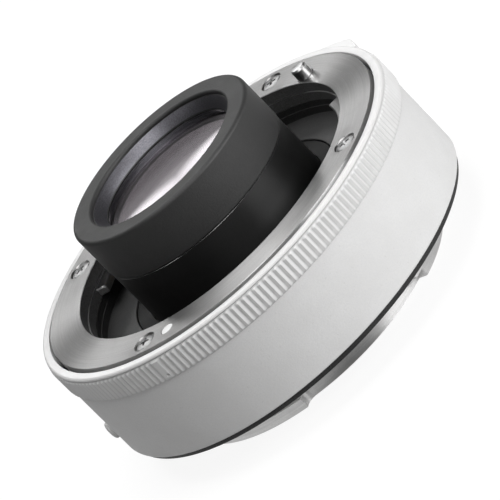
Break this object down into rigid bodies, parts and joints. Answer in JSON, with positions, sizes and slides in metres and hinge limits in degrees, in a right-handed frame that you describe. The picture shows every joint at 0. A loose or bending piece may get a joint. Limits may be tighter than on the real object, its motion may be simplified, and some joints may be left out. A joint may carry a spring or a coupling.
{
  "type": "camera teleconverter",
  "caption": "White camera teleconverter: a short barrel with a claw bayonet in front, a lugged bayonet behind, a protruding lens head, a lock pin with a release lever and sprung contacts.",
  "frame": {"origin": "centre of the rear seat, on the optical axis", "axes": "+Z along the optical axis from the camera side to the lens side; +X points to one rear mount screw, and the lock pin stands about 25 degrees from it towards +Y"},
  "size_m": [0.0627, 0.0624, 0.0328],
  "materials": {
    "white_paint": "fine-textured matte paint",
    "white_resin": "smooth, half gloss",
    "flange_steel": "turned in fine rings, satin",
    "bayonet_chrome": "polished",
    "screw_steel": "bright plated",
    "spring_steel": "drawn wire and rolled strip",
    "black_plastic": "matte",
    "black_alloy": "black anodised, satin",
    "lens_head_plastic": "fine-grained matte",
    "chassis_alloy": "cast and machined, dull",
    "coated_glass": "polished and coated",
    "contact_gold": "gold plated",
    "board_laminate": "solder mask, half matte",
    "lead_film": "thin film"
  },
  "bodies": {
    "converter": {"main_barrel": "white_paint", "ribbed_ring": "white_paint", "front_mount": "flange_steel", "flange_screws": "screw_steel", "front_index_dot": "white_resin", "mount_spring_ring": "spring_steel", "well_liner": "black_plastic", "barrel_collar": "black_alloy", "chassis": "chassis_alloy", "lens_barrel": "black_alloy", "lens_head": "lens_head_plastic", "front_element": "coated_glass", "pair_front_element": "coated_glass", "pair_rear_element": "coated_glass", "fourth_element": "coated_glass", "fifth_element": "coated_glass", "rear_element": "coated_glass", "front_spacer": "black_alloy", "middle_spacer": "black_alloy", "inner_rear_spacer": "black_alloy", "outer_rear_spacer": "black_alloy", "rear_retaining_ring": "black_alloy", "lock_pin_spring": "spring_steel", "lever_spring": "spring_steel", "front_contact_block": "black_plastic", "contact_spring_01": "spring_steel", "contact_spring_02": "spring_steel", "contact_spring_03": "spring_steel", "contact_spring_04": "spring_steel", "contact_spring_05": "spring_steel", "contact_spring_06": "spring_steel", "contact_spring_07": "spring_steel", "contact_spring_08": "spring_steel", "contact_spring_09": "spring_steel", "contact_spring_10": "spring_steel", "circuit_board": "board_laminate", "board_screws": "screw_steel", "front_lead": "lead_film", "rear_lead": "lead_film", "rear_contact_block": "black_plastic", "rear_contact_pads": "contact_gold", "rear_mount": "bayonet_chrome", "rear_mount_screws": "screw_steel", "rear_skirt_ring": "black_plastic", "rear_index_bump": "white_resin", "rear_baffle": "black_plastic"},
    "release_lever": {"release_lever": "white_paint"},
    "lock_pin": {"lock_pin": "bayonet_chrome"},
    "contact_pin_01": {"contact_pin_01": "contact_gold"},
    "contact_pin_02": {"contact_pin_02": "contact_gold"},
    "contact_pin_03": {"contact_pin_03": "contact_gold"},
    "contact_pin_04": {"contact_pin_04": "contact_gold"},
    "contact_pin_05": {"contact_pin_05": "contact_gold"},
    "contact_pin_06": {"contact_pin_06": "contact_gold"},
    "contact_pin_07": {"contact_pin_07": "contact_gold"},
    "contact_pin_08": {"contact_pin_08": "contact_gold"},
    "contact_pin_09": {"contact_pin_09": "contact_gold"},
    "contact_pin_10": {"contact_pin_10": "contact_gold"}
  },
  "joints": [
    {"name": "release_lever_turn", "type": "hinge", "parent": "converter", "child": "release_lever", "pos_m": [0, 0, 0.014], "axis": [0, 0, 1], "range_deg": [0, 6], "stiffness_Nm_per_rad": 0.02, "springref_deg": -17.19, "deforming": ["lever_spring"]},
    {"name": "lock_pin_slide", "type": "slide", "parent": "converter", "child": "lock_pin", "axis": [0, 0, 1], "range_m": [-0.0022, 0], "deforming": ["lock_pin_spring"]},
    {"name": "contact_slide_01", "type": "slide", "parent": "converter", "child": "contact_pin_01", "axis": [0, 0, -1], "range_m": [0, 0.0007], "stiffness_N_per_m": 20, "springref_m": -0.0005, "deforming": ["contact_spring_01"]},
    {"name": "contact_slide_02", "type": "slide", "parent": "converter", "child": "contact_pin_02", "axis": [0, 0, -1], "range_m": [0, 0.0007], "stiffness_N_per_m": 20, "springref_m": -0.0005, "deforming": ["contact_spring_02"]},
    {"name": "contact_slide_03", "type": "slide", "parent": "converter", "child": "contact_pin_03", "axis": [0, 0, -1], "range_m": [0, 0.0007], "stiffness_N_per_m": 20, "springref_m": -0.0005, "deforming": ["contact_spring_03"]},
    {"name": "contact_slide_04", "type": "slide", "parent": "converter", "child": "contact_pin_04", "axis": [0, 0, -1], "range_m": [0, 0.0007], "stiffness_N_per_m": 20, "springref_m": -0.0005, "deforming": ["contact_spring_04"]},
    {"name": "contact_slide_05", "type": "slide", "parent": "converter", "child": "contact_pin_05", "axis": [0, 0, -1], "range_m": [0, 0.0007], "stiffness_N_per_m": 20, "springref_m": -0.0005, "deforming": ["contact_spring_05"]},
    {"name": "contact_slide_06", "type": "slide", "parent": "converter", "child": "contact_pin_06", "axis": [0, 0, -1], "range_m": [0, 0.0007], "stiffness_N_per_m": 20, "springref_m": -0.0005, "deforming": ["contact_spring_06"]},
    {"name": "contact_slide_07", "type": "slide", "parent": "converter", "child": "contact_pin_07", "axis": [0, 0, -1], "range_m": [0, 0.0007], "stiffness_N_per_m": 20, "springref_m": -0.0005, "deforming": ["contact_spring_07"]},
    {"name": "contact_slide_08", "type": "slide", "parent": "converter", "child": "contact_pin_08", "axis": [0, 0, -1], "range_m": [0, 0.0007], "stiffness_N_per_m": 20, "springref_m": -0.0005, "deforming": ["contact_spring_08"]},
    {"name": "contact_slide_09", "type": "slide", "parent": "converter", "child": "contact_pin_09", "axis": [0, 0, -1], "range_m": [0, 0.0007], "stiffness_N_per_m": 20, "springref_m": -0.0005, "deforming": ["contact_spring_09"]},
    {"name": "contact_slide_10", "type": "slide", "parent": "converter", "child": "contact_pin_10", "axis": [0, 0, -1], "range_m": [0, 0.0007], "stiffness_N_per_m": 20, "springref_m": -0.0005, "deforming": ["contact_spring_10"]}
  ],
  "couplings": [
    {"joint": "lock_pin_slide", "follows": "release_lever_turn", "m_per_rad": -0.021008}
  ]
}
